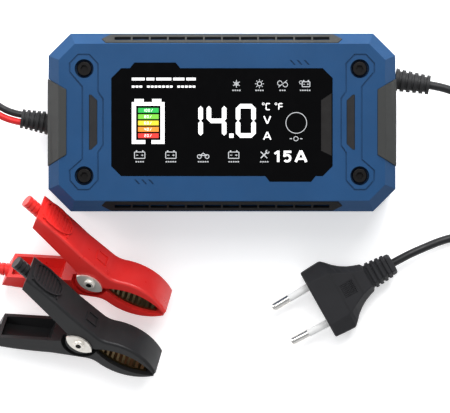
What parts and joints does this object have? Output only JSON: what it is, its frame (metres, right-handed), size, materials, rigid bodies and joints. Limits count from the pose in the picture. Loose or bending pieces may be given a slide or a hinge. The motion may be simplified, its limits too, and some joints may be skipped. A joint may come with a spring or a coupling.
{
  "type": "car battery charger",
  "caption": "Flat bevelled battery charger with a lit display, a coiled mains cord with a flat two-pin plug, and two leads ending in sprung battery clamps.",
  "frame": {"origin": "middle of the flat back face, on the surface the charger lies on", "axes": "+X along the case towards the mains cord, +Y across the case towards its top edge, +Z out of the front"},
  "size_m": [0.3514, 0.1535, 0.044],
  "materials": {
    "case_blue": "fine moulded texture, satin",
    "charcoal_plastic": "moulded, satin",
    "black_plastic": "moulded, satin",
    "window_plastic": "polished smoked window",
    "black_pvc": "soft cable jacket",
    "red_pvc": "soft cable jacket",
    "red_plastic": "moulded, semi-gloss",
    "plated_steel": "nickel plated",
    "black_steel": "black oxide",
    "plain_steel": "bright",
    "jaw_copper": "copper plated",
    "green_board": "solder mask",
    "lcd_glass": "display glass",
    "ferrite": "ferrite and tape",
    "copper_wire": "enamelled wire",
    "aluminium": "extruded",
    "capacitor_sleeve": "shrink sleeve",
    "fuse_glass": "clear",
    "white_plastic": "moulded, satin",
    "tie_plastic": "flexible strap"
  },
  "bodies": {
    "root": {"accent_inlays": "black_plastic", "black_lead": "black_pvc", "black_lead_clamp_end": "black_pvc", "black_lead_coil": "black_pvc", "black_lead_tie": "tie_plastic", "black_lower_jaw": "jaw_copper", "black_lower_lever": "black_plastic", "black_pivot_plates": "plated_steel", "black_rivet": "plated_steel", "black_spring": "plain_steel", "board_screws": "plain_steel", "bottom_vent_strip": "black_plastic", "capacitors": "capacitor_sleeve", "case_screws": "black_steel", "display_board": "green_board", "display_module": "lcd_glass", "display_ribbon": "charcoal_plastic", "display_window": "window_plastic", "fan_frame": "black_plastic", "front_cover": "case_blue", "heat_sinks": "aluminium", "left_grip": "charcoal_plastic", "main_board": "green_board", "mains_choke": "ferrite", "mains_cord": "black_pvc", "mains_cord_coil": "black_pvc", "mains_cord_plug_end": "black_pvc", "mains_cord_tie": "tie_plastic", "mains_fuse": "fuse_glass", "mains_gland": "black_pvc", "output_choke": "copper_wire", "output_gland": "black_pvc", "plug_body": "black_plastic", "plug_pin_sleeves": "white_plastic", "plug_pins": "plated_steel", "power_transistors": "black_plastic", "rear_cover": "case_blue", "red_lead": "red_pvc", "red_lead_clamp_end": "red_pvc", "red_lead_coil": "red_pvc", "red_lead_tie": "tie_plastic", "red_lower_jaw": "jaw_copper", "red_lower_lever": "red_plastic", "red_pivot_plates": "plated_steel", "red_rivet": "plated_steel", "red_spring": "plain_steel", "right_grip": "charcoal_plastic", "top_vent_strip": "charcoal_plastic", "transformer": "ferrite"},
    "red_clamp_upper": {"red_upper_lever": "red_plastic", "red_upper_jaw": "jaw_copper"},
    "black_clamp_upper": {"black_upper_lever": "black_plastic", "black_upper_jaw": "jaw_copper"},
    "fan": {"fan_rotor": "black_plastic"}
  },
  "joints": [
    {"name": "red_clamp_open", "type": "hinge", "parent": "root", "child": "red_clamp_upper", "pos_m": [-0.0578, -0.0662, 0.0178], "axis": [-0.1966, -0.672, 0.714], "range_deg": [0, 36], "stiffness_Nm_per_rad": 0.35, "springref_deg": -20},
    {"name": "black_clamp_open", "type": "hinge", "parent": "root", "child": "black_clamp_upper", "pos_m": [-0.0624, -0.0934, 0.0178], "axis": [-0.1966, -0.672, 0.714], "range_deg": [0, 36], "stiffness_Nm_per_rad": 0.35, "springref_deg": -20},
    {"name": "fan_spin", "type": "hinge", "parent": "root", "child": "fan", "pos_m": [0.027, -0.0302, 0.0204], "axis": [0, 1, 0], "continuous": true}
  ]
}
